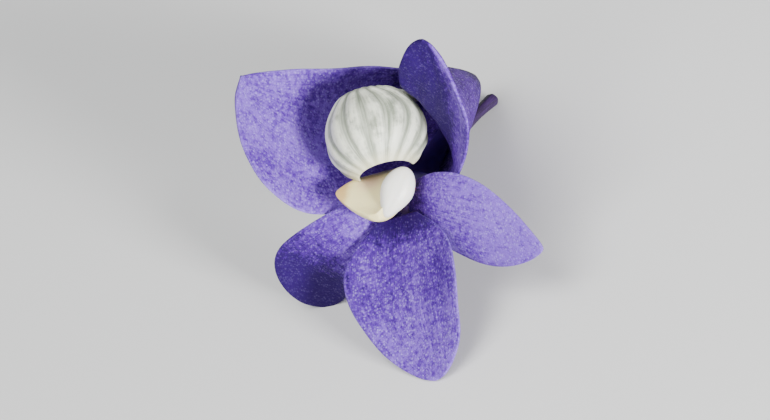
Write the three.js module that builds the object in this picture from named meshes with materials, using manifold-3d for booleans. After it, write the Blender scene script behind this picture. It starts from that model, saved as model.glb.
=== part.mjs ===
// A small blue-violet orchid flower, picked with its stalk and lying on a table.
//
// Every piece is first laid out in the flower's own frame, in millimetres: +X to the flower's
// left as it looks at you, +Y towards the two broad side sepals, +Z forward out of its face,
// and the origin at the root of the column. The whole flower is then leaned back until it
// rests on its stalk, one petal and the odd sepal, with +Z of the part pointing up.

import Module from "manifold-3d";
import * as THREE from "three";
import { mergeVertices } from "three/addons/utils/BufferGeometryUtils.js";

const wasm = await Module();
wasm.setup();

// ---- Driving dimensions -------------------------------------------------------------------

const SEPAL_THICKNESS = 0.42;
const PETAL_THICKNESS = 0.34;
const LIP_THICKNESS = 0.3;
const RIM_THICKNESS = 0.16;

const CAP_GAP = 0.1;

const LEAN_BACK = 72.09;
const LEAN_SIDE = 5.95;

// ---- Finishes -----------------------------------------------------------------------------

function finish(colour, roughness) {
  return new THREE.MeshStandardMaterial({ color: colour, roughness, metalness: 0 });
}

const violetFinish = () => finish(0x7a66c4, 0.6);
const lipFinish = () => finish(0xe4e6dc, 0.5);
const columnFinish = () => finish(0xece6cc, 0.45);
const stalkFinish = () => finish(0x4c2a86, 0.6);

// ---- Helpers ------------------------------------------------------------------------------

const point = ([x, y, z]) => new THREE.Vector3(x, y, z);

function guide(points) {
  return new THREE.CatmullRomCurve3(points.map(point), false, "catmullrom", 0.5);
}

// Values given at even steps from 0 to 1, joined by a smooth line.
function profile(values) {
  const line = new THREE.SplineCurve(values.map((value, i) => new THREE.Vector2(i, value)));
  return (t) => line.getPoint(THREE.MathUtils.clamp(t, 0, 1)).y;
}

function namedMesh(name, geometry, material) {
  const mesh = new THREE.Mesh(geometry, material);
  mesh.name = name;
  return mesh;
}

function normalAt(surface, u, v) {
  const step = 1e-3;
  const midU = THREE.MathUtils.clamp(u, step, 1 - step);
  const midV = THREE.MathUtils.clamp(v, step, 1 - step);
  const alongU = surface(midU + step, midV).sub(surface(midU - step, midV));
  const alongV = surface(midU, midV + step).sub(surface(midU, midV - step));
  return alongU.cross(alongV).normalize();
}

// A thin closed blade: a box whose two large faces lie either side of surface(u, v).
function blade(surface, thickness, lengthSteps, widthSteps) {
  const geometry = new THREE.BoxGeometry(1, 1, 1, lengthSteps, widthSteps, 1);
  const places = geometry.attributes.position;
  for (let i = 0; i < places.count; i += 1) {
    const u = places.getX(i) + 0.5;
    const v = places.getY(i) + 0.5;
    const side = Math.sign(places.getZ(i));
    const fullness = Math.sqrt(Math.max(0, 4 * v * (1 - v)));
    const depth = THREE.MathUtils.lerp(RIM_THICKNESS, thickness, fullness);
    const place = surface(u, v);
    place.addScaledVector(normalAt(surface, u, v), (side * depth) / 2);
    places.setXYZ(i, place.x, place.y, place.z);
  }
  return geometry;
}

// A closed solid of changing section: a cylinder whose height runs along t from 0 to 1.
function loft(section, lengthSteps, roundSteps) {
  const geometry = new THREE.CylinderGeometry(1, 1, 1, roundSteps, lengthSteps, false);
  const places = geometry.attributes.position;
  for (let i = 0; i < places.count; i += 1) {
    const t = places.getY(i) + 0.5;
    const place = section(t, -places.getX(i), places.getZ(i));
    places.setXYZ(i, place.x, place.y, place.z);
  }
  return geometry;
}

// The geometry as a solid that can be cut, and what is left of it once a tool is cut away.
function solidOf(geometry) {
  const bare = geometry.clone();
  bare.deleteAttribute("normal");
  bare.deleteAttribute("uv");
  const merged = mergeVertices(bare, 1e-5);
  const vertProperties = Float32Array.from(merged.attributes.position.array);
  const triVerts = Uint32Array.from(merged.index.array);
  return new wasm.Manifold(new wasm.Mesh({ numProp: 3, vertProperties, triVerts }));
}

function cutAway(geometry, tool) {
  const left = solidOf(geometry).subtract(solidOf(tool)).getMesh();
  const result = new THREE.BufferGeometry();
  result.setAttribute("position", new THREE.BufferAttribute(left.vertProperties, 3));
  result.setIndex(new THREE.BufferAttribute(left.triVerts, 1));
  return result;
}

// ---- Side sepals: each is half of the hollow spur behind, opening into a broad blade ---------

// Guide lines of the left half of the spur, from its blunt end to where the halves part.
const SPUR = {
  lower: [[0.15, 0.35, -16.15], [0.35, -0.05, -15.2], [0.5, -0.35, -12.9], [0.6, -0.5, -9.3]],
  rib: [[0.35, 0.65, -16.25], [1.15, 0.75, -15.4], [2.1, 1.2, -13.3], [2.95, 1.65, -10.7]],
  upper: [[0.15, 0.95, -16.15], [0.15, 1.7, -15.3], [0.15, 3.0, -13.7], [0.2, 4.4, -11.4]],
};

// The blades carry those lines on to the two tips; no two blades open quite alike.
const WIDE_BLADE = {
  lower: [
    [0.9, -0.6, -4.8], [3.2, 0.1, -1.4], [6.0, 1.6, 0.8], [7.2, 4.9, 2.0],
    [8.0, 7.9, 1.2], [8.1, 10.2, -0.5], [7.9, 11.4, -2.0],
  ],
  rib: [
    [3.9, 2.2, -7.6], [4.9, 3.5, -5.1], [6.1, 5.4, -3.4], [7.1, 7.8, -2.4],
    [7.7, 9.7, -1.9], [7.9, 11.0, -1.9], [7.8, 11.6, -2.3],
  ],
  upper: [
    [2.0, 6.7, -9.3], [3.8, 8.3, -7.3], [5.4, 9.7, -5.7], [6.6, 10.7, -4.3],
    [7.3, 11.3, -3.3], [7.6, 11.6, -2.7], [7.7, 11.75, -2.5],
  ],
};

const CURLED_BLADE = {
  lower: [
    [1.6, -0.6, -3.6], [4.5, 0.3, -1.4], [7.1, 2.4, -0.5], [8.3, 4.4, -0.8],
    [8.4, 6.4, -1.4], [8.2, 8.5, -1.9], [7.8, 10.3, -2.2],
  ],
  rib: [
    [4.0, 2.2, -6.8], [4.3, 2.8, -3.9], [5.8, 4.9, -2.9], [6.9, 6.8, -2.5],
    [7.3, 8.3, -2.4], [7.5, 9.8, -2.4], [7.55, 10.6, -2.3],
  ],
  upper: [
    [1.4, 6.1, -7.7], [2.9, 7.2, -3.9], [3.8, 8.7, -3.1], [4.9, 9.8, -2.6],
    [5.8, 10.5, -2.5], [6.6, 10.8, -2.45], [7.3, 10.85, -2.3],
  ],
};

const SIDE_SEPAL_ROUNDNESS = [1, 1, 1, 1, 0.8, 0.5, 0.2, 0, 0, 0, 0];

function sideSepalSurface(bladeShape, sideways) {
  const lower = guide([...SPUR.lower, ...bladeShape.lower]);
  const rib = guide([...SPUR.rib, ...bladeShape.rib]);
  const upper = guide([...SPUR.upper, ...bladeShape.upper]);
  const roundness = profile(SIDE_SEPAL_ROUNDNESS);
  return (u, v) => {
    const start = lower.getPoint(u);
    const end = upper.getPoint(u);
    const round = roundness(u);
    const across = THREE.MathUtils.lerp(v, (1 - Math.cos(Math.PI * v)) / 2, round);
    const bulge = THREE.MathUtils.lerp(4 * v * (1 - v), Math.sin(Math.PI * v), round);
    const outward = rib.getPoint(u).sub(start.clone().lerp(end, 0.5));
    const place = start.lerp(end, across).addScaledVector(outward, bulge);
    place.x *= sideways;
    return place;
  };
}

function sideSepal(name, bladeShape, sideways) {
  const geometry = blade(sideSepalSurface(bladeShape, sideways), SEPAL_THICKNESS, 26, 12);
  return namedMesh(name, geometry, violetFinish());
}

// ---- Petals and odd sepal: flat-based blades bent along a rib ------------------------------

const RIGHT_PETAL = {
  rib: [[1.0, -0.5, -1.0], [3.9, -1.0, 0.6], [7.4, -2.5, 1.4], [11.1, -4.5, 2.4]],
  halfWidths: [0.8, 2.0, 2.9, 3.2, 2.9, 1.9, 0.5],
  across: [0.1, 0.93, -0.35],
  acrossTip: [0.1, 0.93, -0.35],
  cup: -0.1,
  roundness: 24,
};

const LEFT_PETAL = {
  rib: [[-1.0, -0.5, -1.0], [-4.6, -1.3, 0.7], [-8.1, -2.8, 0.4], [-9.9, -6.2, 0]],
  halfWidths: [0.8, 1.8, 2.5, 2.7, 2.9, 2.8, 2.3],
  across: [-0.5, 0.86, -0.08],
  acrossTip: [-0.85, 0.48, 0.2],
  cup: -0.1,
  roundness: 9,
};

const ODD_SEPAL = {
  rib: [[0, -0.75, -0.1], [0.1, -3.2, 2.0], [0.6, -6.4, 4.7], [1.6, -9.9, 7.7]],
  halfWidths: [1.6, 3.5, 4.6, 4.7, 4.1, 3.1, 1.4],
  across: [1, 0.05, 0],
  acrossTip: [1, 0.05, 0],
  cup: 0.12,
  roundness: 20,
};

// The width line turns from across to acrossTip, and a high roundness makes the end blunter.
function petalSurface({ rib, halfWidths, across, acrossTip, cup, roundness }) {
  const line = guide(rib);
  const widthAt = profile(halfWidths);
  return (u, v) => {
    const turned = THREE.MathUtils.smoothstep(u, 0.3, 1);
    const sideways = point(across).lerp(point(acrossTip), turned).normalize();
    const rounding = Math.sqrt(Math.max(1 - u ** roundness, 0.004));
    const offset = (2 * v - 1) * widthAt(u) * rounding;
    const facing = line.getTangent(u).cross(sideways).normalize();
    const place = line.getPoint(u).addScaledVector(sideways, offset);
    return place.addScaledVector(facing, (cup * offset * offset) / 2.5);
  };
}

function petal(name, shape) {
  return namedMesh(name, blade(petalSurface(shape), PETAL_THICKNESS, 24, 8), violetFinish());
}

// ---- Lip: a strap from the end of the spur that widens into a round hood -------------------

// Each section is an arc about a centre below the lip's crest, opening towards the column.
// The claw comes first; the hood then follows a globe from its rear pole round to its mouth.
const CLAW = {
  crest: [[0, 0.75, -14.0], [0, 1.6, -12.6], [0, 2.9, -10.7], [0, 4.3, -8.6], [-0.1, 5.8, -6.6]],
  facing: [124, 124, 124, 118, 95],
  radius: [0.8, 0.9, 1.1, 1.3, 1.5],
  wrap: [30, 35, 45, 60, 75],
};

const HOOD = {
  middle: [-0.3, 4.36, -2.94],
  radius: 3.4,
  nod: 45,
  yaw: 16,
  lean: -3,
  stations: [32, 55, 78, 101, 124, 146],
  wrap: [88, 122, 146, 136, 104, 76],
};

function hoodCrest(station) {
  const turn = THREE.MathUtils.degToRad(station);
  const nod = THREE.MathUtils.degToRad(HOOD.nod);
  const forward = new THREE.Vector3(0, -Math.sin(nod), Math.cos(nod));
  const upward = new THREE.Vector3(0, Math.cos(nod), Math.sin(nod));
  const place = upward.multiplyScalar(Math.sin(turn)).addScaledVector(forward, -Math.cos(turn));
  return place.multiplyScalar(HOOD.radius).add(point(HOOD.middle)).toArray();
}

function lipSurface() {
  const { degToRad, smoothstep } = THREE.MathUtils;
  const hoodRadii = HOOD.stations.map((station) => HOOD.radius * Math.sin(degToRad(station)));
  const hoodFacing = HOOD.stations.map(() => 90 - HOOD.nod);
  const crest = guide([...CLAW.crest, ...HOOD.stations.map(hoodCrest)]);
  const facing = profile([...CLAW.facing, ...hoodFacing]);
  const radius = profile([...CLAW.radius, ...hoodRadii]);
  const wrap = profile([...CLAW.wrap, ...HOOD.wrap]);
  const middle = point(HOOD.middle);
  const upright = new THREE.Vector3(0, 1, 0);
  return (u, v) => {
    const overHood = smoothstep(u, 0.4, 0.6);
    const tilt = degToRad(facing(u));
    const turn = degToRad(wrap(u) * (2 * v - 1) + HOOD.lean * overHood);
    const drop = radius(u) * (1 - Math.cos(turn));
    const place = crest.getPoint(u);
    place.x += radius(u) * Math.sin(turn);
    place.y -= drop * Math.sin(tilt);
    place.z -= drop * Math.cos(tilt);
    return place.sub(middle).applyAxisAngle(upright, degToRad(HOOD.yaw) * overHood).add(middle);
  };
}

function lip() {
  return namedMesh("lip", blade(lipSurface(), LIP_THICKNESS, 30, 18), lipFinish());
}

// ---- Column: a winged scoop, with its foot running back along the spur ----------------------

const COLUMN = {
  rib: [
    [0, 0.6, -15.6], [0, 0.0, -13.8], [0, -0.3, -10.4], [0, -0.3, -7.0], [0, -0.1, -4.0],
    [0, 1.2, -2.4], [0, 1.95, -1.0], [0, 1.9, 0.0], [0, 1.6, 0.9], [0, 1.2, 1.7], [0, 0.95, 2.4],
  ],
  halfWidth: [0.22, 0.3, 0.38, 0.42, 0.6, 1.4, 2.1, 2.8, 3.1, 2.0, 0.5],
  wingLift: [0, 0, 0, 0, 0, 0.1, 0.5, 0.9, 1.15, 0.65, 0.1],
  face: [0.15, 0.18, 0.2, 0.2, 0.4, 0.6, 0.35, 0.15, 0.1, 0.12, 0.15],
  depth: [0.15, 0.18, 0.2, 0.2, 0.3, 1.0, 1.7, 1.85, 1.65, 1.15, 0.45],
  leftWing: 0.85,
  rightWing: 0.35,
  rightShortening: 0.52,
};

const columnLine = guide(COLUMN.rib);
const columnHalfWidth = profile(COLUMN.halfWidth);
const columnWingLift = profile(COLUMN.wingLift);
const columnFace = profile(COLUMN.face);
const columnDepth = profile(COLUMN.depth);

// The column's shape, grown outward by a gap where another piece is to be fitted round it.
function columnShape(gap) {
  const { rib, halfWidth, wingLift, face, depth } = COLUMN;
  const line = guide(rib);
  const halfWidthAt = profile(halfWidth);
  const liftAt = profile(wingLift);
  const faceAt = profile(face);
  const depthAt = profile(depth);
  const section = (t, sideways, upward) => {
    const centre = line.getPoint(t);
    const onTheRight = sideways > 0;
    const shortening = COLUMN.rightShortening * THREE.MathUtils.smoothstep(t, 0.42, 0.5);
    const reach = halfWidthAt(t) * (onTheRight ? 1 - shortening : 1) + gap;
    const wing = liftAt(t) * (onTheRight ? COLUMN.rightWing : COLUMN.leftWing);
    const rise = upward * ((upward > 0 ? faceAt(t) : depthAt(t)) + gap);
    const height = centre.y + wing * Math.abs(sideways) ** 1.6 + rise;
    return new THREE.Vector3(sideways * reach, height, centre.z);
  };
  return loft(section, 40, 24);
}

function column() {
  return namedMesh("column", columnShape(0), columnFinish());
}

// ---- Anther cap: a long helmet lying in the right half of the scoop --------------------------

const CAP = {
  centre: [1.45, 1.55, 0.8],
  breadthways: [0.8, -0.86, -0.08],
  upwards: [0.41, 0.32, 0.61],
  lengthways: [-0.99, -1.05, 1.24],
  narrowing: 0.35,
};

function antherCap() {
  const geometry = new THREE.SphereGeometry(1, 24, 16);
  const places = geometry.attributes.position;
  for (let i = 0; i < places.count; i += 1) {
    const towardsNose = THREE.MathUtils.smoothstep(places.getZ(i), -0.2, 1);
    const place = point(CAP.centre);
    place.addScaledVector(point(CAP.breadthways), places.getX(i) * (1 - CAP.narrowing * towardsNose));
    place.addScaledVector(point(CAP.upwards), places.getY(i));
    place.addScaledVector(point(CAP.lengthways), places.getZ(i));
    places.setXYZ(i, place.x, place.y, place.z);
  }
  return namedMesh("anther_cap", cutAway(geometry, columnShape(CAP_GAP)), columnFinish());
}

// ---- Stalk: the thin pedicel thickening into the ovary under the flower -----------------------

const STALK = {
  rib: [[0.9, -1.6, -16.6], [0.45, -1.4, -14.2], [0.1, -1.3, -11], [0, -1.4, -6.5], [0, -0.6, -0.9]],
  radius: [0.5, 0.4, 0.42, 0.55, 0.62],
};

function stalk() {
  const line = guide(STALK.rib);
  const radius = profile(STALK.radius);
  const sideways = new THREE.Vector3(1, 0, 0);
  const section = (t, a, b) => {
    const upward = line.getTangent(t).cross(sideways).normalize();
    const place = line.getPoint(t).addScaledVector(sideways, a * radius(t));
    return place.addScaledVector(upward, b * radius(t));
  };
  return namedMesh("pedicel_and_ovary", loft(section, 18, 12), stalkFinish());
}

// ---- The flower, laid down --------------------------------------------------------------------

const flower = new THREE.Group();
flower.add(stalk());
flower.add(petal("odd_sepal", ODD_SEPAL));
flower.add(sideSepal("side_sepal_right", CURLED_BLADE, 1));
flower.add(sideSepal("side_sepal_left", WIDE_BLADE, -1));
flower.add(petal("petal_right", RIGHT_PETAL));
flower.add(petal("petal_left", LEFT_PETAL));
flower.add(lip());
flower.add(column());
flower.add(antherCap());

// Leaning back about X, then sideways about its own Z, levels the three tips it stands on.
flower.rotation.set(THREE.MathUtils.degToRad(LEAN_BACK), 0, THREE.MathUtils.degToRad(LEAN_SIDE));

const reach = new THREE.Box3().setFromObject(flower, true);
const middle = reach.getCenter(new THREE.Vector3());
flower.position.set(-middle.x, -middle.y, -reach.min.z);

const group = new THREE.Group();
group.add(flower);

export default group;
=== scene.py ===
"""A small blue-violet orchid flower, picked with its stalk and lying on a pale table.

Every piece is laid out in the flower's own frame, in millimetres: +X to the right of someone
looking at its face, +Y towards the two broad side sepals, +Z forward out of the face, and the
origin at the root of the column. Thin pieces are sheets: a grid whose u runs from the base of
the piece to its tip and whose v runs across it. The whole flower is then leaned back onto its
stalk, one petal and the odd sepal, as the frame has it.
"""

import math

import bmesh
import bpy
from mathutils import Matrix, Vector, noise


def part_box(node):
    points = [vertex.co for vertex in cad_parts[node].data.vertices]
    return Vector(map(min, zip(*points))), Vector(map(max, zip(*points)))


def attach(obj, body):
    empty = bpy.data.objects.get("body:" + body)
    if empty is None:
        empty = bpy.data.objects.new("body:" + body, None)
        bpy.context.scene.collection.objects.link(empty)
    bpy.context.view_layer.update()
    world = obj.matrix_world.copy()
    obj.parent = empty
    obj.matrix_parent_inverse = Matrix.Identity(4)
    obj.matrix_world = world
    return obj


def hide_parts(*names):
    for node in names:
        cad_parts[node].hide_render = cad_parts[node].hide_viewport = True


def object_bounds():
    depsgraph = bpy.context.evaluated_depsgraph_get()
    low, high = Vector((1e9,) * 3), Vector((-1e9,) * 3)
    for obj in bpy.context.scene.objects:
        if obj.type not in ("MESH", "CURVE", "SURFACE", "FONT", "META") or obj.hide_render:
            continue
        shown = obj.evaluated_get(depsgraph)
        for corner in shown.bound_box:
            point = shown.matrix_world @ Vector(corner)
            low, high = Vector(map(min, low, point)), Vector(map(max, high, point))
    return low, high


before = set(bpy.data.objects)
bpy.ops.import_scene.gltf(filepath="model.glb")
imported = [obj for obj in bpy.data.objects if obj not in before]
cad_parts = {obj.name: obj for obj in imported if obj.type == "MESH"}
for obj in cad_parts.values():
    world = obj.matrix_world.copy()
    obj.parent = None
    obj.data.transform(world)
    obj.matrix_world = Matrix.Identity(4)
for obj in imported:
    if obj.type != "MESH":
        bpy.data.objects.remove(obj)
cad_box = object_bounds()

MM = 0.001
LEAN_BACK = 72.09
LEAN_SIDE = 5.95

# The line of sight, in degrees: turned from straight in front, raised above the table, then
# rolled. The distance is in metres and the lens in mm.
VIEW_TURN = 39.6
VIEW_RISE = 40.2
VIEW_ROLL = -35.8
VIEW_DISTANCE = 0.30
VIEW_LENS = 200


# ---- Smooth lines and masks -----------------------------------------------------------------

# How far apart the two samples behind a slope are, as a share of the line or surface.
STEP = 1e-3


def smooth_line(stops):
    """A smooth line through evenly spaced numbers or points, as a function of t from 0 to 1."""
    stops = [Vector(stop) if isinstance(stop, tuple) else float(stop) for stop in stops]
    before = stops[0] * 2 - stops[1]
    after = stops[-1] * 2 - stops[-2]
    padded = [before, *stops, after]

    def at(t):
        place = min(max(t, 0.0), 1.0) * (len(stops) - 1)
        i = min(int(place), len(stops) - 2)
        s = place - i
        a, b, c, d = padded[i : i + 4]
        bend = (a - b * 2.5 + c * 2 - d * 0.5) * (s * s)
        twist = (b * 1.5 - a * 0.5 - c * 1.5 + d * 0.5) * (s * s * s)
        return b + (c - a) * (0.5 * s) + bend + twist

    return at


def direction_at(line, t):
    """The unit tangent of a smooth line."""
    near = min(max(t, STEP), 1 - STEP)
    return (line(near + STEP) - line(near - STEP)).normalized()


def smooth_step(low, high, value):
    """0 below low and 1 above high, with a smooth change between them."""
    share = min(max((value - low) / (high - low), 0.0), 1.0)
    return share * share * (3 - 2 * share)


def blend(a, b, share):
    return a + (b - a) * share


def normal_at(surface, u, v):
    mid_u = min(max(u, STEP), 1 - STEP)
    mid_v = min(max(v, STEP), 1 - STEP)
    along = surface(mid_u + STEP, mid_v) - surface(mid_u - STEP, mid_v)
    across = surface(mid_u, mid_v + STEP) - surface(mid_u, mid_v - STEP)
    return along.cross(across).normalized()


# ---- Shapes of the thin pieces --------------------------------------------------------------

# Guide lines of the left half of the spur, from its blunt end to where the halves part.
SPUR = {
    "lower": [(0.15, 0.35, -16.15), (0.35, -0.05, -15.2), (0.5, -0.35, -12.9), (0.6, -0.5, -9.3)],
    "rib": [(0.35, 0.65, -16.25), (1.15, 0.75, -15.4), (2.1, 1.2, -13.3), (2.95, 1.65, -10.7)],
    "upper": [(0.15, 0.95, -16.15), (0.15, 1.7, -15.3), (0.15, 3.0, -13.7), (0.2, 4.4, -11.4)],
}

# The blades carry those lines on to the two tips; no two blades open quite alike.
WIDE_BLADE = {
    "lower": [
        (0.9, -0.6, -4.8), (3.2, 0.1, -1.4), (6.0, 1.6, 0.8), (7.2, 4.9, 2.0),
        (8.0, 7.9, 1.2), (8.1, 10.2, -0.5), (7.9, 11.4, -2.0),
    ],
    "rib": [
        (3.9, 2.2, -7.6), (4.9, 3.5, -5.1), (6.1, 5.4, -3.4), (7.1, 7.8, -2.4),
        (7.7, 9.7, -1.9), (7.9, 11.0, -1.9), (7.8, 11.6, -2.3),
    ],
    "upper": [
        (2.0, 6.7, -9.3), (3.8, 8.3, -7.3), (5.4, 9.7, -5.7), (6.6, 10.7, -4.3),
        (7.3, 11.3, -3.3), (7.6, 11.6, -2.7), (7.7, 11.75, -2.5),
    ],
}
CURLED_BLADE = {
    "lower": [
        (1.6, -0.6, -3.6), (4.5, 0.3, -1.4), (7.1, 2.4, -0.5), (8.3, 4.4, -0.8),
        (8.4, 6.4, -1.4), (8.2, 8.5, -1.9), (7.8, 10.3, -2.2),
    ],
    "rib": [
        (4.0, 2.2, -6.8), (4.3, 2.8, -3.9), (5.8, 4.9, -2.9), (6.9, 6.8, -2.5),
        (7.3, 8.3, -2.4), (7.5, 9.8, -2.4), (7.55, 10.6, -2.3),
    ],
    "upper": [
        (1.4, 6.1, -7.7), (2.9, 7.2, -3.9), (3.8, 8.7, -3.1), (4.9, 9.8, -2.6),
        (5.8, 10.5, -2.5), (6.6, 10.8, -2.45), (7.3, 10.85, -2.3),
    ],
}
SIDE_SEPAL_ROUNDNESS = [1, 1, 1, 1, 0.8, 0.5, 0.2, 0, 0, 0, 0]


def side_sepal_surface(blade, sideways):
    lower = smooth_line(SPUR["lower"] + blade["lower"])
    rib = smooth_line(SPUR["rib"] + blade["rib"])
    upper = smooth_line(SPUR["upper"] + blade["upper"])
    roundness = smooth_line(SIDE_SEPAL_ROUNDNESS)

    def surface(u, v):
        start, end = lower(u), upper(u)
        round_share = roundness(u)
        across = blend(v, (1 - math.cos(math.pi * v)) / 2, round_share)
        bulge = blend(4 * v * (1 - v), math.sin(math.pi * v), round_share)
        place = start.lerp(end, across) + (rib(u) - (start + end) / 2) * bulge
        place.x *= sideways
        return place

    return surface


# A petal has a rib, half widths along it, and a direction across it at its base and at its tip.
# Its cup is how strongly it curls off flat, per mm; the higher its roundness, the blunter its tip.
RIGHT_PETAL = {
    "rib": [(0.5, -0.5, -1.3), (3.9, -1.0, 0.6), (7.4, -2.5, 1.4), (11.1, -4.5, 2.4)],
    "half_widths": [1.2, 2.2, 2.9, 3.2, 2.9, 1.9, 0.5],
    "across": (0.1, 0.93, -0.35),
    "across_tip": (0.1, 0.93, -0.35),
    "cup": -0.04,
    "roundness": 24,
}
LEFT_PETAL = {
    "rib": [(-0.5, -0.5, -1.3), (-4.6, -1.3, 0.7), (-8.1, -2.8, 0.4), (-9.9, -6.2, 0.0)],
    "half_widths": [1.2, 2.1, 2.5, 2.7, 2.9, 2.8, 2.3],
    "across": (-0.5, 0.86, -0.08),
    "across_tip": (-0.85, 0.48, 0.2),
    "cup": -0.04,
    "roundness": 9,
}
ODD_SEPAL = {
    "rib": [(0.0, -0.75, -0.1), (0.1, -3.2, 2.0), (0.6, -6.4, 4.7), (1.6, -9.9, 7.7)],
    "half_widths": [1.6, 3.5, 4.6, 4.7, 4.1, 3.1, 1.4],
    "across": (1.0, 0.05, 0.0),
    "across_tip": (1.0, 0.05, 0.0),
    "cup": 0.048,
    "roundness": 20,
}


TIP_WIDTH_SHARE = 0.063


def petal_surface(shape):
    rib = smooth_line(shape["rib"])
    profile = smooth_line(shape["half_widths"])
    across, across_tip = Vector(shape["across"]), Vector(shape["across_tip"])

    def surface(u, v):
        sideways = across.lerp(across_tip, smooth_step(0.3, 1.0, u)).normalized()
        rounding = max(math.sqrt(1 - u ** shape["roundness"]), TIP_WIDTH_SHARE)
        offset = (2 * v - 1) * profile(u) * rounding
        facing = direction_at(rib, u).cross(sideways).normalized()
        return rib(u) + sideways * offset + facing * (shape["cup"] * offset * offset)

    return surface


# Each section of the lip is an arc about a centre below its crest. The first five are its narrow
# claw, and the rest follow a globe of HOOD_RADIUS between a rear and a front pole. Angles are in
# degrees: facing is which way the crest looks, and wrap is how far an arc reaches to each side.
HOOD_MIDDLE = Vector((-0.3, 4.36, -2.94))
HOOD_RADIUS = 3.4
HOOD_NOD = 45.0
HOOD_YAW = 16.0
HOOD_LEAN = -3.0
CLAW = {
    "crest": [
        (0, 0.75, -14.0), (0, 1.6, -12.6), (0, 2.9, -10.7), (0, 4.3, -8.6), (-0.1, 5.8, -6.6),
    ],
    "facing": [124, 124, 124, 118, 95],
    "radius": [0.8, 0.9, 1.1, 1.3, 1.5],
    "wrap": [30, 35, 45, 60, 75],
}
HOOD_STATIONS = [32, 55, 78, 101, 124, 146]
HOOD_WRAP = [88, 122, 146, 138, 118, 102]


def hood_crest(station):
    """The crest of the hood at an angle from its rear pole, in degrees."""
    turn, nod = math.radians(station), math.radians(HOOD_NOD)
    forward = Vector((0, -math.sin(nod), math.cos(nod)))
    upward = Vector((0, math.cos(nod), math.sin(nod)))
    return HOOD_MIDDLE + (upward * math.sin(turn) - forward * math.cos(turn)) * HOOD_RADIUS


def lip_surface():
    hood_radii = [HOOD_RADIUS * math.sin(math.radians(station)) for station in HOOD_STATIONS]
    crest = smooth_line(CLAW["crest"] + [tuple(hood_crest(station)) for station in HOOD_STATIONS])
    facing = smooth_line(CLAW["facing"] + [90 - HOOD_NOD] * len(HOOD_STATIONS))
    radius = smooth_line(CLAW["radius"] + hood_radii)
    wrap = smooth_line(CLAW["wrap"] + HOOD_WRAP)

    def surface(u, v):
        place = crest(u)
        over_hood = smooth_step(0.4, 0.6, u)
        tilt = math.radians(facing(u))
        turn = math.radians(wrap(u) * (2 * v - 1) + HOOD_LEAN * over_hood)
        drop = radius(u) * (1 - math.cos(turn))
        place.x += radius(u) * math.sin(turn)
        place.y -= drop * math.sin(tilt)
        place.z -= drop * math.cos(tilt)
        yaw = Matrix.Rotation(math.radians(HOOD_YAW * over_hood), 3, "Y")
        return HOOD_MIDDLE + yaw @ (place - HOOD_MIDDLE)

    return surface


# ---- From the flower's own frame to the table -----------------------------------------------


def middle_of(places):
    low = Vector([min(place[axis] for place in places) for axis in range(3)])
    high = Vector([max(place[axis] for place in places) for axis in range(3)])
    return (low + high) / 2


def laid_down():
    """The flower's frame laid on the table: the lean, then the place that the frame gives."""
    lean = Matrix.Rotation(math.radians(LEAN_BACK), 4, "X")
    lean = lean @ Matrix.Rotation(math.radians(LEAN_SIDE), 4, "Z") @ Matrix.Scale(MM, 4)
    surface = petal_surface(ODD_SEPAL)
    steps = [i / 40 for i in range(41)]
    places = [lean @ surface(u, v) for u in steps for v in steps]
    return Matrix.Translation(middle_of(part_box("odd_sepal")) - middle_of(places)) @ lean


TO_TABLE = laid_down()


# ---- Making pieces --------------------------------------------------------------------------


def finished_piece(node, bm, materials):
    """Makes the object that stands for a node, and gives it its materials."""
    name = node + "_skin"
    mesh = bpy.data.meshes.new(name)
    bm.to_mesh(mesh)
    bm.free()
    for material in materials:
        mesh.materials.append(material)
    mesh.polygons.foreach_set("use_smooth", [True] * len(mesh.polygons))
    piece = bpy.data.objects.new(name, mesh)
    bpy.context.scene.collection.objects.link(piece)
    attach(piece, "root")
    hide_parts(node)
    return piece


def round_off(piece):
    subdivision = piece.modifiers.new("rounded", "SUBSURF")
    subdivision.levels = 1
    subdivision.render_levels = 1


# Walls: grid steps along and across, thickness in mm, and the share of it that the rim keeps.
SIDE_SEPAL_WALL = {"steps": (90, 44), "thickness": 0.4, "rim_share": 0.4}
PETAL_WALL = {"steps": (60, 36), "thickness": 0.34, "rim_share": 0.4}
LIP_WALL = {"steps": (90, 84), "thickness": 0.28, "rim_share": 0.5}
# The share of a sheet's length over which it thins towards its tip.
TIP_THINNING = 1 / 6


def sheet_piece(node, surface, relief, wall, materials, flipped=False):
    """A thin piece with a thinner rounded rim.

    materials are those of its face and its back. flipped is for a surface whose own normal
    points to the back.
    """
    bm = bmesh.new()
    along = bm.loops.layers.uv.new("along")
    fullness = bm.verts.layers.deform.new()
    steps_along, steps_across = wall["steps"]
    bmesh.ops.create_grid(bm, x_segments=steps_along, y_segments=steps_across, size=0.5)
    for face in bm.faces:
        for loop in face.loops:
            loop[along].uv = (loop.vert.co.x + 0.5, loop.vert.co.y + 0.5)
    side = -1 if flipped else 1
    for vert in bm.verts:
        u, v = vert.co.x + 0.5, vert.co.y + 0.5
        normal = normal_at(surface, u, v) * side
        vert.co = TO_TABLE @ (surface(u, v) + normal * relief(u, v))
        inside = min(4 * v * (1 - v), (1 - u) / TIP_THINNING, 1.0)
        vert[fullness][0] = math.sqrt(max(inside, 0.0))
    if flipped:
        bmesh.ops.reverse_faces(bm, faces=bm.faces[:])
    piece = finished_piece(node, bm, materials)
    piece.vertex_groups.new(name="fullness")
    solidify = piece.modifiers.new("wall", "SOLIDIFY")
    solidify.thickness = wall["thickness"] * MM
    solidify.offset = 0
    solidify.vertex_group = "fullness"
    solidify.thickness_vertex_group = wall["rim_share"]
    solidify.material_offset = 1
    round_off(piece)
    return piece


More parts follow.
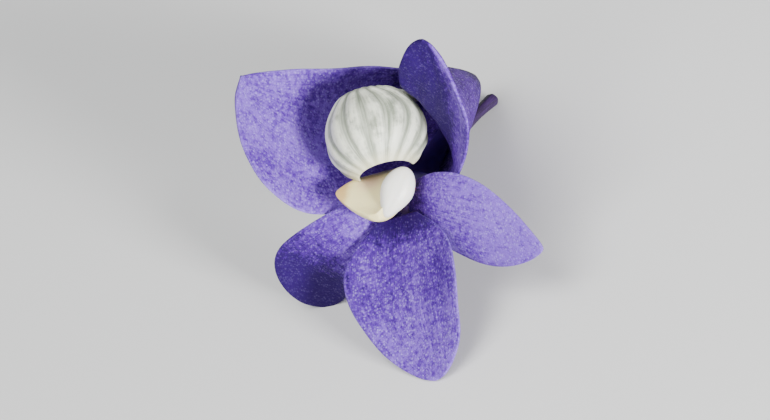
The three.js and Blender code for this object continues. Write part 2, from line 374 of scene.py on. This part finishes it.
def loft_piece(node, section, steps_along, steps_round, material):
    """A closed solid. section(t, x, y) is where the point x, y of a unit circle goes at t."""
    bm = bmesh.new()
    along = bm.loops.layers.uv.new("along")
    bmesh.ops.create_cone(
        bm, cap_ends=True, cap_tris=False, segments=steps_round, radius1=1, radius2=1, depth=1
    )
    uprights = [edge for edge in bm.edges if abs(edge.verts[0].co.z - edge.verts[1].co.z) > 0.5]
    bmesh.ops.subdivide_edges(bm, edges=uprights, cuts=steps_along - 1, use_grid_fill=True)
    for face in bm.faces:
        for loop in face.loops:
            x, y, z = loop.vert.co
            loop[along].uv = (z + 0.5, math.atan2(y, x) / math.tau + 0.5)
    for vert in bm.verts:
        x, y, z = vert.co
        vert.co = TO_TABLE @ section(z + 0.5, x, y)
    bm.normal_update()
    bmesh.ops.recalc_face_normals(bm, faces=bm.faces[:])
    piece = finished_piece(node, bm, [material])
    round_off(piece)
    return piece


# ---- Materials ------------------------------------------------------------------------------


def feed(tree, socket, value):
    """Gives an input socket a value, or a link where value is another node's output."""
    if isinstance(value, bpy.types.NodeSocket):
        tree.links.new(value, socket)
    else:
        socket.default_value = value


def add_node(tree, kind, settings=(), **inputs):
    """A shader node with its settings, and with each input a value or a link."""
    node = tree.nodes.new(kind)
    for name, value in dict(settings).items():
        setattr(node, name, value)
    for name, value in inputs.items():
        feed(tree, node.inputs[name.replace("_", " ")], value)
    return node


def math_node(tree, operation, *values):
    node = add_node(tree, "ShaderNodeMath", {"operation": operation})
    for socket, value in zip(node.inputs, values):
        feed(tree, socket, value)
    return node.outputs[0]


def times(tree, first, second):
    return math_node(tree, "MULTIPLY", first, second)


def plus(tree, first, second):
    return math_node(tree, "ADD", first, second)


def mask_between(tree, value, low, high):
    """0 below low and 1 above high, with a smooth change between them."""
    smooth = {"interpolation_type": "SMOOTHSTEP"}
    node = add_node(tree, "ShaderNodeMapRange", smooth, Value=value, From_Min=low, From_Max=high)
    return node.outputs["Result"]


# Where a Mix node keeps its share, its two colours and the mixed colour, in its socket lists.
MIX_SHARE, MIX_FIRST, MIX_SECOND, MIX_RESULT = 0, 6, 7, 2


def mix_colours(tree, share, first, second):
    node = add_node(tree, "ShaderNodeMix", {"data_type": "RGBA"})
    feed(tree, node.inputs[MIX_SHARE], share)
    feed(tree, node.inputs[MIX_FIRST], first)
    feed(tree, node.inputs[MIX_SECOND], second)
    return node.outputs[MIX_RESULT]


def new_group(name, inputs, outputs):
    group = bpy.data.node_groups.new(name, "ShaderNodeTree")
    for label, kind, value in inputs:
        socket = group.interface.new_socket(label, in_out="INPUT", socket_type=kind)
        socket.default_value = value
    for label, kind in outputs:
        group.interface.new_socket(label, in_out="OUTPUT", socket_type=kind)
    entry = group.nodes.new("NodeGroupInput")
    leave = group.nodes.new("NodeGroupOutput")
    return group, entry.outputs, leave.inputs


def noise_texture(tree, place, scale, detail, roughness=0.55):
    node = add_node(
        tree, "ShaderNodeTexNoise", Vector=place, Scale=scale, Detail=detail, Roughness=roughness
    )
    return node.outputs["Fac"]


def streak_texture(tree, along, lengthways, crossways, detail, roughness=0.55):
    """Noise drawn out along a piece, with so many features along it and across it."""
    scale = (lengthways, crossways, 1)
    stretched = add_node(tree, "ShaderNodeMapping", Vector=along, Scale=scale).outputs["Vector"]
    return noise_texture(tree, stretched, 1.0, detail, roughness)


def split(tree, vector):
    """The X, Y and Z of a vector."""
    return add_node(tree, "ShaderNodeSeparateXYZ", Vector=vector).outputs[:]


def piece_coordinates(tree):
    """A place on the piece in metres, and its u and v along and across it."""
    outputs = tree.nodes.new("ShaderNodeTexCoord").outputs
    return outputs["Object"], outputs["UV"]


# Each set of colours runs from deep through middle to pale.
FACE_COLOURS = ((0.018, 0.001, 0.09, 1), (0.066, 0.012, 0.25, 1), (0.175, 0.08, 0.48, 1))
BACK_COLOURS = ((0.018, 0.001, 0.06, 1), (0.05, 0.006, 0.18, 1), (0.11, 0.03, 0.32, 1))
# Pale colour of the painted glints off the petal's cells.
GLINT_COLOUR = (0.38, 0.29, 0.74, 1)
# Pale colour of the painted rim light along the edges.
RIM_LIGHT_COLOUR = (0.36, 0.26, 0.72, 1)

# Texture scales, in features per metre: drifts of colour, mottling, cells and groups of cells.
DRIFTS, MOTTLING, CELLS, CELL_GROUPS = 420, 2600, 6200, 5200
# How far the painted rim light reaches in from the edge, as a share of u and v.
RIM_LIGHT_WIDTH = 0.022


def petal_tissue_group():
    """Petal cells: clouds of colour, painted glints, veins along the petal and a painted rim
    light.

    Tip shifts the tone towards the tip. The side input shifts it from the margin at v = 0 to the
    middle: painted light along that margin and painted shade across the rest.
    The heart input is the share of the length over which the dark base fades: painted shade in the
    throat by the column, with the tissue's own deeper colour at its base.
    """
    colour, number = "NodeSocketColor", "NodeSocketFloat"
    group, given, out = new_group(
        "petal_tissue",
        [
            ("Deep", colour, FACE_COLOURS[0]),
            ("Middle", colour, FACE_COLOURS[1]),
            ("Pale", colour, FACE_COLOURS[2]),
            ("Paleness", number, 0.5),
            ("Glints", number, 0.5),
            ("Tip", number, 0.0),
            ("Side", number, 0.0),
            ("Heart_shade", number, 0.3),
            ("Rim_light", number, 0.5),
        ],
        [("Colour", colour), ("Roughness", number), ("Height", number)],
    )
    place, along = piece_coordinates(group)
    u, v, _ = split(group, along)

    drifts = noise_texture(group, place, DRIFTS, 3)
    mottle = noise_texture(group, place, MOTTLING, 5, 0.75)
    streaks = streak_texture(group, along, 3, 46, 3)
    cells = add_node(group, "ShaderNodeTexVoronoi", Vector=place, Scale=CELLS, Randomness=1.0)
    chance, _, _ = split(group, cells.outputs["Color"])

    from_centre = mask_between(group, cells.outputs["Distance"], 0.0, 0.75)
    dome = math_node(group, "SUBTRACT", 1.0, from_centre)
    picked = plus(group, chance, noise_texture(group, place, CELL_GROUPS, 2))
    lit = times(group, dome, mask_between(group, picked, 0.85, 1.45))

    grain = plus(group, times(group, mottle, 2.0), -1.0)
    vein = plus(group, times(group, streaks, 0.8), -0.4)
    # The dark base: painted shade in the throat by the column, together with the tissue's own
    # deeper colour at its base.
    from_heart = math_node(group, "DIVIDE", u, given["Heart_shade"])
    heart_shade = math_node(group, "SUBTRACT", mask_between(group, from_heart, 0.0, 1.0), 1.0)
    # Painted light along the margin at v = 0 and painted shade across the far side, as on a blade
    # lit from one side.
    side_shade_mask = math_node(group, "SUBTRACT", mask_between(group, v, 0.15, 0.6), 0.5)
    tone = plus(group, given["Paleness"], plus(group, times(group, drifts, 0.9), -0.45))
    for part in (
        grain,
        vein,
        times(group, mask_between(group, u, 0.35, 0.95), given["Tip"]),
        times(group, side_shade_mask, given["Side"]),
        times(group, heart_shade, 0.75),
    ):
        tone = plus(group, tone, part)
    base = mix_colours(group, mask_between(group, tone, 0.0, 0.5), given["Deep"], given["Middle"])
    base = mix_colours(group, mask_between(group, tone, 0.4, 1.0), base, given["Pale"])

    # Painted glints: pale cells laid into the colour like sparkles of light, stronger where the
    # tone is pale.
    in_pale = plus(group, times(group, mask_between(group, tone, 0.0, 0.8), 0.75), 0.25)
    painted_glints = times(group, times(group, lit, given["Glints"]), in_pale)
    base = mix_colours(group, painted_glints, base, GLINT_COLOUR)

    # A painted rim light: a pale line along the edges and round the tip.
    from_side = math_node(group, "MINIMUM", v, math_node(group, "SUBTRACT", 1.0, v))
    from_rim = math_node(group, "MINIMUM", from_side, math_node(group, "SUBTRACT", 1.0, u))
    rim = math_node(group, "SUBTRACT", 1.0, mask_between(group, from_rim, 0.0, RIM_LIGHT_WIDTH))
    base = mix_colours(group, times(group, rim, given["Rim_light"]), base, RIM_LIGHT_COLOUR)
    group.links.new(base, out["Colour"])

    group.links.new(plus(group, times(group, lit, -0.22), 0.6), out["Roughness"])
    height = plus(group, times(group, dome, 0.5), grain)
    height = plus(group, height, times(group, vein, 0.6))
    group.links.new(height, out["Height"])
    return group


PETAL_TISSUE = petal_tissue_group()


def new_material(name):
    material = bpy.data.materials.new(name)
    material.use_nodes = True
    tree = material.node_tree
    tree.nodes.clear()
    shader = tree.nodes.new("ShaderNodeBsdfPrincipled")
    surface = tree.nodes.new("ShaderNodeOutputMaterial")
    tree.links.new(shader.outputs[0], surface.inputs["Surface"])
    return material, tree, shader


def raise_surface(tree, shader, height, distance):
    """Gives the surface a fine relief, distance metres deep."""
    bump = add_node(tree, "ShaderNodeBump", Distance=distance, Strength=1.0, Height=height)
    tree.links.new(bump.outputs["Normal"], shader.inputs["Normal"])


def let_light_through(shader, weight, radius, scale):
    """Makes the tissue translucent: radius is how far red, green and blue go, times scale in m."""
    shader.inputs["Subsurface Weight"].default_value = weight
    shader.inputs["Subsurface Radius"].default_value = radius
    shader.inputs["Subsurface Scale"].default_value = scale


def petal_material(name, colours, shares):
    material, tree, shader = new_material(name)
    tissue = add_node(tree, "ShaderNodeGroup", {"node_tree": PETAL_TISSUE})
    for label, value in {**dict(zip(("Deep", "Middle", "Pale"), colours)), **shares}.items():
        tissue.inputs[label].default_value = value
    tree.links.new(tissue.outputs["Colour"], shader.inputs["Base Color"])
    tree.links.new(tissue.outputs["Roughness"], shader.inputs["Roughness"])
    shader.inputs["Specular IOR Level"].default_value = 0.15
    let_light_through(shader, 0.12, (0.4, 0.3, 1.0), 0.0006)
    raise_surface(tree, shader, tissue.outputs["Height"], 0.00004)
    return material


WIDE_FACE = petal_material(
    "wide_sepal_face", FACE_COLOURS,
    {"Paleness": 0.76, "Glints": 0.5, "Tip": 0.0, "Side": 0.0, "Heart_shade": 0.55, "Rim_light": 0.15},
)
# The curled sepal's face is painted as if in shade: far less pale than the other faces, with
# painted light along one margin and painted shade across the rest.
SHADED_CURLED_FACE = petal_material(
    "curled_sepal_face_painted_shade", FACE_COLOURS,
    {"Paleness": 0.2, "Glints": 0.45, "Tip": 0.1, "Side": -0.95, "Heart_shade": 0.7, "Rim_light": 0.0},
)
RIGHT_FACE = petal_material(
    "right_petal_face", FACE_COLOURS,
    {"Paleness": 0.75, "Glints": 0.5, "Tip": 0.2, "Side": 0.0, "Heart_shade": 0.35, "Rim_light": 0.15},
)
LEFT_FACE = petal_material(
    "left_petal_face", FACE_COLOURS,
    {"Paleness": 0.65, "Glints": 0.45, "Tip": -1.3, "Side": 0.0, "Heart_shade": 0.2, "Rim_light": 0.05},
)
ODD_FACE = petal_material(
    "odd_sepal_face", FACE_COLOURS,
    {"Paleness": 0.52, "Glints": 0.6, "Tip": 0.25, "Side": 0.0, "Heart_shade": 0.28, "Rim_light": 0.15},
)
BACK = petal_material(
    "petal_back", BACK_COLOURS,
    {"Paleness": 0.5, "Glints": 0.4, "Tip": 0.05, "Side": 0.0, "Heart_shade": 0.3, "Rim_light": 0.0},
)


LIP_RIBS = 11
HOOD_WHITE = (0.76, 0.78, 0.66, 1)
# Dark green-grey of the furrows: painted shade in the grooves between the ribs, over the lip's own
# greenish tint.
FURROW_SHADE_GREEN = (0.19, 0.22, 0.16, 1)
HOOD_MARGIN_YELLOW = (0.83, 0.78, 0.5, 1)


def lip_material():
    material, tree, shader = new_material("lip_wax")
    place, along = piece_coordinates(tree)
    u, v, _ = split(tree, along)
    clouds = noise_texture(tree, place, 500, 5, 0.65)
    cells = noise_texture(tree, place, 6000, 3)
    streaks = streak_texture(tree, along, 3, 70, 4, 0.65)
    ribs = math_node(tree, "COSINE", times(tree, v, math.tau * LIP_RIBS))
    # Painted shade down the furrows between the ribs where the clouds allow; low tone turns to the
    # dark furrow green.
    furrow_shade = times(tree, ribs, mask_between(tree, clouds, 0.35, 0.65))
    tone = plus(tree, times(tree, furrow_shade, -0.3), clouds)
    tone = plus(tree, tone, times(tree, streaks, 0.75))
    colour = mix_colours(tree, mask_between(tree, tone, 0.55, 1.15), FURROW_SHADE_GREEN, HOOD_WHITE)
    margin = times(tree, mask_between(tree, u, 0.9, 1.0), 0.55)
    colour = mix_colours(tree, margin, colour, HOOD_MARGIN_YELLOW)
    tree.links.new(colour, shader.inputs["Base Color"])
    shader.inputs["Roughness"].default_value = 0.42
    let_light_through(shader, 0.25, (1.0, 0.95, 0.7), 0.0005)
    raise_surface(tree, shader, plus(tree, cells, times(tree, streaks, 0.8)), 0.00003)
    return material


COLUMN_CREAM = (0.9, 0.79, 0.38, 1)
CAP_WHITE = (0.86, 0.86, 0.84, 1)
CLOUD_CREAM = (0.82, 0.74, 0.46, 1)
WING_TAN = (0.62, 0.42, 0.16, 1)
# Pink painted shade for the hollow of the scoop.
HOLLOW_SHADE_PINK = (0.8, 0.45, 0.38, 1)
FOOT_VIOLET = (0.04, 0.012, 0.16, 1)


def column_material(name, body, hollow_shade_share):
    """Wax stained tan and violet, and pink with painted shade in the scoop's hollow, where the
    piece's attribute says so.
    """
    material, tree, shader = new_material(name)
    place, _ = piece_coordinates(tree)
    stain_and_shade = add_node(tree, "ShaderNodeAttribute", {"attribute_name": "stain_and_shade"})
    tan, pink, violet = split(tree, stain_and_shade.outputs["Vector"])
    clouds = noise_texture(tree, place, 1600, 4)
    cells = noise_texture(tree, place, 7000, 3)
    colour = mix_colours(tree, times(tree, clouds, 0.35), body, CLOUD_CREAM)
    uneven = times(tree, plus(tree, clouds, 0.5), tan)
    colour = mix_colours(tree, mask_between(tree, uneven, 0.1, 0.8), colour, WING_TAN)
    # Pink painted shade in the hollow of the scoop.
    colour = mix_colours(tree, times(tree, pink, hollow_shade_share), colour, HOLLOW_SHADE_PINK)
    colour = mix_colours(tree, violet, colour, FOOT_VIOLET)
    tree.links.new(colour, shader.inputs["Base Color"])
    shader.inputs["Roughness"].default_value = 0.36
    let_light_through(shader, 0.3, (1.0, 0.8, 0.5), 0.0006)
    raise_surface(tree, shader, cells, 0.00002)
    return material


STALK_DARK = (0.012, 0.002, 0.025, 1)
STALK_LIGHT = (0.04, 0.01, 0.09, 1)


def stalk_material():
    material, tree, shader = new_material("stalk_skin")
    place, along = piece_coordinates(tree)
    streaks = streak_texture(tree, along, 6, 24, 4)
    cells = noise_texture(tree, place, 5000, 3)
    colour = mix_colours(tree, mask_between(tree, streaks, 0.3, 0.75), STALK_DARK, STALK_LIGHT)
    tree.links.new(colour, shader.inputs["Base Color"])
    shader.inputs["Roughness"].default_value = 0.5
    raise_surface(tree, shader, plus(tree, streaks, cells), 0.00004)
    return material


# ---- The pieces -----------------------------------------------------------------------------

# The stalk runs from its cut end beside the spur to the ovary at the root of the column.
STALK_LINE = smooth_line([
    (0.9, -1.6, -16.6), (0.45, -1.4, -14.2), (0.1, -1.3, -11.0), (0.0, -1.3, -6.0),
    (0.0, -1.0, -1.0),
])
STALK_RADIUS = smooth_line([0.5, 0.4, 0.42, 0.58, 1.0])
STALK_RIDGES = 6


def petal_relief(veins, depth, wave, seed):
    """Shallow grooves along the petal between its veins, and a gently waved rim.

    depth and wave are in mm. Both fade out at the tip, so that its outline stays smooth.
    """

    def relief(u, v):
        inland = smooth_step(0, 0.2, u) * (1 - smooth_step(0.7, 0.95, u))
        grooves = -depth * (0.5 + 0.5 * math.cos(math.tau * veins * v)) * inland
        edge = smooth_step(0.55, 1.0, abs(2 * v - 1))
        swell = noise.noise(Vector((u * 4 + seed, v * 2, seed)))
        rim_wave = wave * edge * math.sin(9 * u + seed + 2 * v) + 2 * wave * swell * u
        return grooves + rim_wave * (1 - smooth_step(0.75, 1.0, u))

    return relief


def lip_relief(u, v):
    """Ribs that fan over the hood, and a waved margin round its mouth."""
    over_hood = smooth_step(0.35, 0.6, u) * (1 - smooth_step(0.8, 0.98, u))
    ribs = 0.5 - 0.5 * math.cos(math.tau * LIP_RIBS * v)
    margin = smooth_step(0.86, 1.0, abs(2 * v - 1)) * smooth_step(0.4, 0.6, u)
    return 0.13 * over_hood * ribs + 0.12 * margin * math.sin(34 * u)


def stalk_section(t, x, y):
    sideways = Vector((1, 0, 0))
    upward = direction_at(STALK_LINE, t).cross(sideways).normalized()
    ridges = 1 + 0.05 * math.cos(STALK_RIDGES * math.atan2(y, x) + 2 * t)
    return STALK_LINE(t) + (sideways * x + upward * y) * STALK_RADIUS(t) * ridges


# The column's foot runs along the spur; its head is a scoop between two wings. Along it go its
# middle, its half width, how high its wings stand, and how thick it is above and below.
COLUMN_LINE = smooth_line([
    (0, 0.6, -15.6), (0, 0.0, -13.8), (0, -0.3, -10.4), (0, -0.3, -7.0), (0, -0.1, -4.0),
    (0, 1.2, -2.4), (0, 1.95, -1.0), (0, 1.9, 0.0), (0, 1.6, 0.9), (0, 1.2, 1.7), (0, 0.95, 2.4),
])
COLUMN_HALF_WIDTH = smooth_line([0.3, 0.5, 0.9, 1.4, 1.9, 2.0, 2.2, 2.8, 3.1, 2.0, 0.5])
COLUMN_LIFT = smooth_line([0, 0, 0, 0, 0, 0.1, 0.5, 0.9, 1.15, 0.65, 0.1])
COLUMN_FACE = smooth_line([0.15, 0.18, 0.2, 0.2, 0.4, 0.6, 0.35, 0.15, 0.1, 0.12, 0.15])
COLUMN_DEPTH = smooth_line([0.15, 0.18, 0.2, 0.2, 0.3, 1.0, 1.7, 1.85, 1.65, 1.15, 0.45])

# The right wing is lower and shorter than the left, so that the cap covers it.
LEFT_WING, RIGHT_WING = 0.85, 0.35
RIGHT_SHORTENING = 0.52
WING_CURVE = 1.6
# Middle of the pink painted shade in the hollow of the scoop.
HOLLOW_SHADE_MIDDLE = Vector((-0.9, 2.2, -0.6))


def column_section(t, x, y):
    wing = COLUMN_LIFT(t) * (LEFT_WING if x < 0 else RIGHT_WING)
    rise = wing * abs(x) ** WING_CURVE + y * (COLUMN_FACE(t) if y > 0 else COLUMN_DEPTH(t))
    place = COLUMN_LINE(t)
    short = 1 - RIGHT_SHORTENING * smooth_step(0.0, 1.0, x) * smooth_step(0.42, 0.5, t)
    return Vector((x * short * COLUMN_HALF_WIDTH(t), place.y + rise, place.z))


def column_stain_and_shade(place):
    """How tan the column is, how pink with painted shade in the hollow of its scoop, and how
    violet, at a place in the flower's frame.
    """
    tan = smooth_step(1.6, 3.1, abs(place.x)) * (1.0 if place.x < 0 else 0.5)
    # Pink painted shade round the hollow of the scoop.
    hollow_shade = smooth_step(1.5, 0.3, (place - HOLLOW_SHADE_MIDDLE).length)
    violet = smooth_step(-0.8, -2.4, place.z)
    return tan, hollow_shade, violet


def store_stain_and_shade(piece, stain_and_shade_at):
    """Stores the staining and painted shade of each vertex for the material, from its place in the
    flower's frame.
    """
    stain_and_shade_values = piece.data.attributes.new("stain_and_shade", "FLOAT_VECTOR", "POINT")
    back = TO_TABLE.inverted()
    values = [share for vert in piece.data.vertices for share in stain_and_shade_at(back @ vert.co)]
    stain_and_shade_values.data.foreach_set("vector", values)


# The cap is a long smooth helmet that leans to one side of the scoop and ends in a blunt nose.
CAP_MIDDLE = Vector((1.45, 1.55, 0.8))
CAP_LENGTH = Vector((0.52, 0.55, -0.65)) * 1.9
CAP_BREADTH = Vector((0.67, -0.72, -0.07)) * 1.2
CAP_HEIGHT = Vector((0.51, 0.4, 0.76)) * 0.8


def anther_cap():
    bm = bmesh.new()
    bmesh.ops.create_uvsphere(bm, u_segments=40, v_segments=24, radius=1)
    for vert in bm.verts:
        x, y, z = vert.co
        narrowing = 1 - 0.35 * smooth_step(0.2, -1.0, z)
        seam = 1 - 0.05 * math.exp(-((x / 0.12) ** 2)) * smooth_step(0.0, 0.7, y)
        place = CAP_BREADTH * (x * narrowing) + CAP_HEIGHT * y * seam + CAP_LENGTH * z
        vert.co = TO_TABLE @ (CAP_MIDDLE + place)
    bm.normal_update()
    bmesh.ops.recalc_face_normals(bm, faces=bm.faces[:])
    piece = finished_piece("anther_cap", bm, [column_material("cap_wax", CAP_WHITE, 0.3)])
    store_stain_and_shade(piece, lambda place: (0.0, 0.0, 0.0))
    round_off(piece)


def build_flower():
    relief = petal_relief(veins=5, depth=0.05, wave=0.1, seed=1.0)
    for node, blade, sideways, face in (
        ("side_sepal_right", CURLED_BLADE, 1, SHADED_CURLED_FACE),
        ("side_sepal_left", WIDE_BLADE, -1, WIDE_FACE),
    ):
        surface = side_sepal_surface(blade, sideways)
        flipped = sideways < 0
        materials = [face, BACK]
        sheet_piece(node, surface, relief, SIDE_SEPAL_WALL, materials, flipped)
    for node, shape, face, flipped in (
        ("petal_right", RIGHT_PETAL, RIGHT_FACE, False),
        ("petal_left", LEFT_PETAL, LEFT_FACE, True),
        ("odd_sepal", ODD_SEPAL, ODD_FACE, False),
    ):
        surface = petal_surface(shape)
        sheet_piece(node, surface, relief, PETAL_WALL, [face, BACK], flipped)
    wax = lip_material()
    sheet_piece("lip", lip_surface(), lip_relief, LIP_WALL, [wax, wax])
    loft_piece("pedicel_and_ovary", stalk_section, 60, 24, stalk_material())
    cream = column_material("column_wax", COLUMN_CREAM, 0.5)
    column = loft_piece("column", column_section, 110, 48, cream)
    store_stain_and_shade(column, column_stain_and_shade)
    anther_cap()


build_flower()


# ---- Table, light and camera ----------------------------------------------------------------


def table_top():
    bm = bmesh.new()
    bmesh.ops.create_grid(bm, x_segments=1, y_segments=1, size=1.5)
    mesh = bpy.data.meshes.new("table_top")
    bm.to_mesh(mesh)
    bm.free()
    material, tree, shader = new_material("table_paper")
    shader.inputs["Base Color"].default_value = (0.8, 0.8, 0.79, 1)
    shader.inputs["Roughness"].default_value = 0.85
    mesh.materials.append(material)
    floor = bpy.data.objects.new("table_top", mesh)
    bpy.context.scene.collection.objects.link(floor)


def soft_light(name, azimuth, elevation, distance, size, power):
    """A square lamp aimed at the flower, in degrees, metres and watts.

    azimuth 0 is in front of the flower and 90 to its right.
    """
    turn, rise = math.radians(azimuth), math.radians(elevation)
    level = math.cos(rise)
    away = Vector((math.sin(turn) * level, -math.cos(turn) * level, math.sin(rise)))
    data = bpy.data.lights.new(name, "AREA")
    data.size = size
    data.energy = power
    lamp = bpy.data.objects.new(name, data)
    lamp.location = FLOWER_MIDDLE + away * distance
    lamp.rotation_euler = away.to_track_quat("Z", "Y").to_euler()
    bpy.context.scene.collection.objects.link(lamp)


def studio_air():
    world = bpy.data.worlds.new("studio")
    world.use_nodes = True
    background = world.node_tree.nodes["Background"]
    background.inputs["Color"].default_value = (0.8, 0.84, 0.9, 1)
    background.inputs["Strength"].default_value = 0.22
    bpy.context.scene.world = world


def line_of_sight_camera():
    turn, rise, roll = (math.radians(a) for a in (VIEW_TURN, VIEW_RISE, VIEW_ROLL))
    aim = Matrix.Rotation(turn, 4, "Z") @ Matrix.Rotation(math.pi / 2 - rise, 4, "X")
    aim = aim @ Matrix.Rotation(roll, 4, "Z")
    data = bpy.data.cameras.new("camera")
    data.lens = VIEW_LENS
    camera = bpy.data.objects.new("camera", data)
    pull_back = Matrix.Translation((0, 0, VIEW_DISTANCE))
    camera.matrix_world = Matrix.Translation(AIM) @ aim @ pull_back
    data.clip_start = 0.01
    data.clip_end = 5
    bpy.context.scene.collection.objects.link(camera)
    bpy.context.scene.camera = camera


FLOWER_MIDDLE = (cad_box[0] + cad_box[1]) / 2
AIM = FLOWER_MIDDLE + Vector((-0.0013, -0.0024, -0.0021))
table_top()
soft_light("key", 58, 12, 0.30, 0.07, 2.3)
soft_light("overhead", -40, 72, 0.40, 0.30, 1.5)
soft_light("fill", -10, 35, 0.40, 0.20, 0.5)
studio_air()
line_of_sight_camera()
